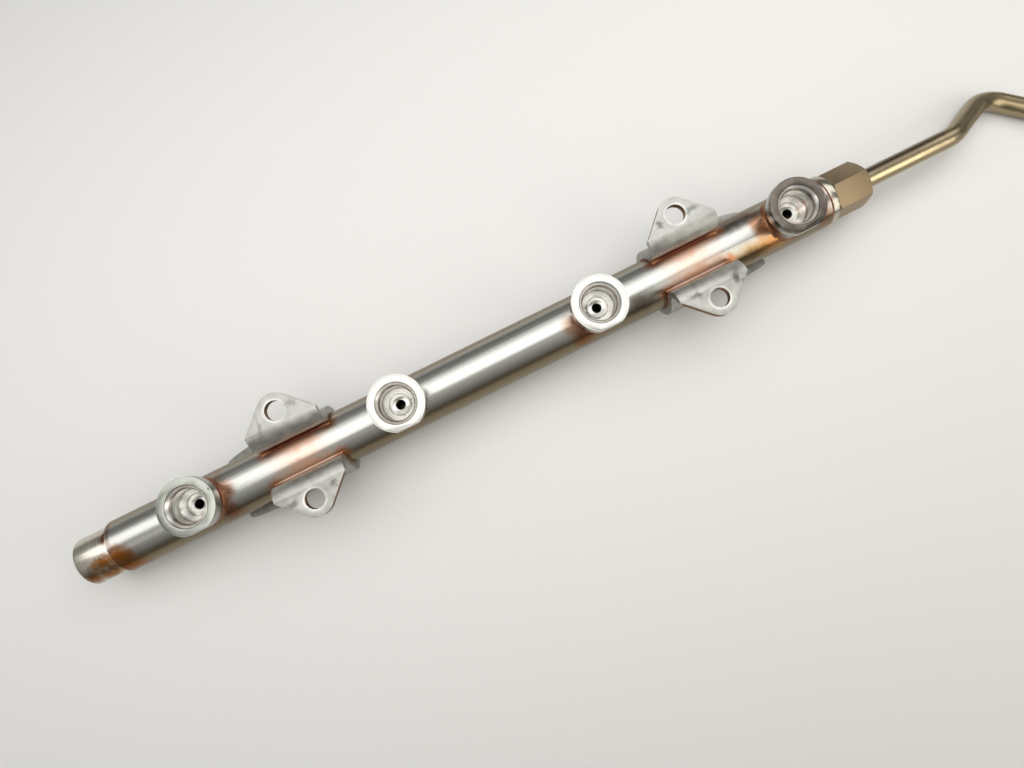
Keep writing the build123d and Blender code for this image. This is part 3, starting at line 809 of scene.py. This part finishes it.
# ---- plug, inlet, nut, pipe ---------------------------------------------------------------------
def turned_plug_steel(colours):
    """Turned free-cutting steel plug: faint rings, with braze that ran over it from the seam."""
    material, tree, in_mm = new_material("turned_plug_steel")
    # tool rings of about 0.6 mm, coarser than the real ones so that they show
    lines = add(tree, "ShaderNodeMapping", {"Vector": in_mm, "Scale": (1.6, 0.03, 0.03)})
    rings = add(tree, "ShaderNodeTexNoise", {"Vector": lines, "Scale": 1.0, "Detail": 4.0})
    cloud = add(tree, "ShaderNodeTexNoise", {"Vector": in_mm, "Scale": 0.3, "Detail": 6.0})
    ragged = add(tree, "ShaderNodeMapRange", {"Value": cloud, **NOISE_SPAN, 3: -0.1, 4: 0.8})
    steel = tint(tree, linear("#C4BFB1"), colours.plug, rings)
    steel = stain(tree, steel, in_mm, ragged, [
        ("#8E6C3C", 0.8, (SEAM_MM - 6.5, -6.6, AXIS_MM + 5.5), (11.0, 5.0, 6.5)),
        ("#9A6226", 1.0, (SEAM_MM - 3.6, -3.6, AXIS_MM + 8.4), (5.6, 3.0, 3.0)),
        ("#7E4A14", 1.0, (SEAM_MM - 11.6, -7.2, AXIS_MM + 5.0), (3.4, 3.0, 4.0)),
        ("#8A551C", 1.0, (SEAM_MM - 6.0, -7.6, AXIS_MM + 4.4), (6.4, 2.4, 4.0)),
        ("#7A4A20", 0.95, (SEAM_MM - 0.8, 5.0, AXIS_MM + 7.5), (2.2, 4.0, 3.4)),
    ])
    bump = add(tree, "ShaderNodeBump", {"Strength": 0.04, "Distance": 0.04 * MM, "Height": rings})
    rough = add(tree, "ShaderNodeMapRange", {"Value": rings, **NOISE_SPAN, 3: 0.24, 4: 0.32})
    metal(tree, steel, rough, bump)
    return material


def bright_fitting_steel(colours):
    """Turned stainless flange: bright and narrow-ringed."""
    material, tree, in_mm = new_material("bright_fitting_steel")
    # tool rings of about 0.3 mm
    lines = add(tree, "ShaderNodeMapping", {"Vector": in_mm, "Scale": (3.0, 0.05, 0.05)})
    rings = add(tree, "ShaderNodeTexNoise", {"Vector": lines, "Scale": 1.0, "Detail": 3.0})
    steel = tint(tree, linear("#9A9488"), colours.fitting, rings)
    rough = add(tree, "ShaderNodeMapRange", {"Value": rings, **NOISE_SPAN, 3: 0.16, 4: 0.26})
    metal(tree, steel, rough)
    return material


def plated_nut(colours):
    """Zinc-nickel plated nut: matte khaki, nearly even in tone, with a fine grit."""
    material, tree, in_mm = new_material("zinc_nickel_plate")
    # clouds of about 2 mm, and a grit of 0.25 mm, as coarse as it needs to show
    cloud = add(tree, "ShaderNodeTexNoise", {"Vector": in_mm, "Scale": 0.5, "Detail": 6.0})
    grit = add(tree, "ShaderNodeTexNoise", {"Vector": in_mm, "Scale": 4.0, "Detail": 3.0})
    plate = tint(tree, linear("#8E7C61"), colours.nut, cloud)
    bump = add(tree, "ShaderNodeBump", {"Strength": 0.12, "Distance": 0.1 * MM, "Height": grit})
    rough = add(tree, "ShaderNodeMapRange", {"Value": cloud, **NOISE_SPAN, 3: 0.38, 4: 0.5})
    metal(tree, plate, rough, bump)
    return material


def drawn_pipe_steel(colours):
    """Drawn and plated steel pipe: warm olive-gold, smooth, with clouds of about 4 mm."""
    material, tree, in_mm = new_material("drawn_pipe_steel")
    cloud = add(tree, "ShaderNodeTexNoise", {"Vector": in_mm, "Scale": 0.25, "Detail": 6.0})
    pipe = tint(tree, linear("#8F8062"), colours.pipe, cloud)
    # painted light along the straight start: a darker streak on its +Y side damps a highlight as
    # painted shade, and a lighter streak on its -Y side is a painted highlight
    ragged = add(tree, "ShaderNodeMapRange", {"Value": cloud, **NOISE_SPAN, 3: 0.0, 4: 0.4})
    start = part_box("union_nut")[1].x / MM
    pipe = stain(tree, pipe, in_mm, ragged, [
        ("#62574A", 0.85, (start + 16.0, 1.9, AXIS_MM + 3.6), (30.0, 2.2, 2.6)),
        ("#DCCDA6", 0.8, (start + 16.0, -1.5, AXIS_MM + 3.6), (30.0, 1.0, 2.0)),
    ])
    bump = add(tree, "ShaderNodeBump", {"Strength": 0.03, "Distance": 0.05 * MM, "Height": cloud})
    rough = add(tree, "ShaderNodeMapRange", {"Value": cloud, **NOISE_SPAN, 3: 0.26, 4: 0.34})
    metal(tree, pipe, rough, bump)
    return material


class FUELRAIL_OT_plug(bpy.types.Operator):
    """Turned finish, run braze and a rounded end on the plug"""
    bl_idname = "fuelrail.plug"
    bl_label = "End Plug"

    def execute(self, context):
        plug = rounded("end_plug", context.scene.fuelrail_edges.plug)
        dress(plug, turned_plug_steel(context.scene.fuelrail_finishes))
        return {"FINISHED"}


class FUELRAIL_OT_inlet(bpy.types.Operator):
    """Finishes of the inlet fitting, the union nut, its sleeve and the pipe"""
    bl_idname = "fuelrail.inlet"
    bl_label = "Inlet and Pipe"

    def execute(self, context):
        colours = context.scene.fuelrail_finishes
        edge = context.scene.fuelrail_edges.inlet
        dress(rounded("inlet_fitting", edge), bright_fitting_steel(colours))
        plate = plated_nut(colours)
        dress(rounded("union_nut", edge), plate)
        for node, finish in (("pipe_sleeve", plate), ("fuel_pipe", drawn_pipe_steel(colours))):
            smooth(NODES[node])
            dress(NODES[node], finish)
        return {"FINISHED"}


class FUELRAIL_PT_panel(bpy.types.Panel):
    """Lists the pieces and their settings in the sidebar"""
    bl_idname = "FUELRAIL_PT_panel"
    bl_label = "Fuel Rail"
    bl_space_type = "VIEW_3D"
    bl_region_type = "UI"
    bl_category = "Fuel Rail"

    def draw(self, context):
        for operator in OPERATORS:
            self.layout.operator(operator.bl_idname)
        for name, group in SETTINGS.items():
            for setting in group.__annotations__:
                self.layout.prop(getattr(context.scene, name), setting)


SETTINGS = {
    "fuelrail_stage": StageSizes,
    "fuelrail_finishes": FinishColours,
    "fuelrail_edges": EdgeSizes,
    "fuelrail_fillets": FilletSizes,
}
OPERATORS = (
    FUELRAIL_OT_stage,
    FUELRAIL_OT_rail_tube,
    FUELRAIL_OT_injector_cups,
    FUELRAIL_OT_braze,
    FUELRAIL_OT_brackets,
    FUELRAIL_OT_plug,
    FUELRAIL_OT_inlet,
)
CLASSES = (*SETTINGS.values(), *OPERATORS, FUELRAIL_PT_panel)


def register():
    """Makes the operators, settings and panel known to Blender."""
    for item in CLASSES:
        bpy.utils.register_class(item)
    for name, group in SETTINGS.items():
        setattr(bpy.types.Scene, name, bpy.props.PointerProperty(type=group))


def unregister():
    """Takes them away again."""
    for name in SETTINGS:
        delattr(bpy.types.Scene, name)
    for item in reversed(CLASSES):
        bpy.utils.unregister_class(item)


def main():
    """Registers the add-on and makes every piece."""
    register()
    for operator in OPERATORS:
        _, name = operator.bl_idname.split(".")
        getattr(bpy.ops.fuelrail, name)()


if __name__ == "__main__":
    main()
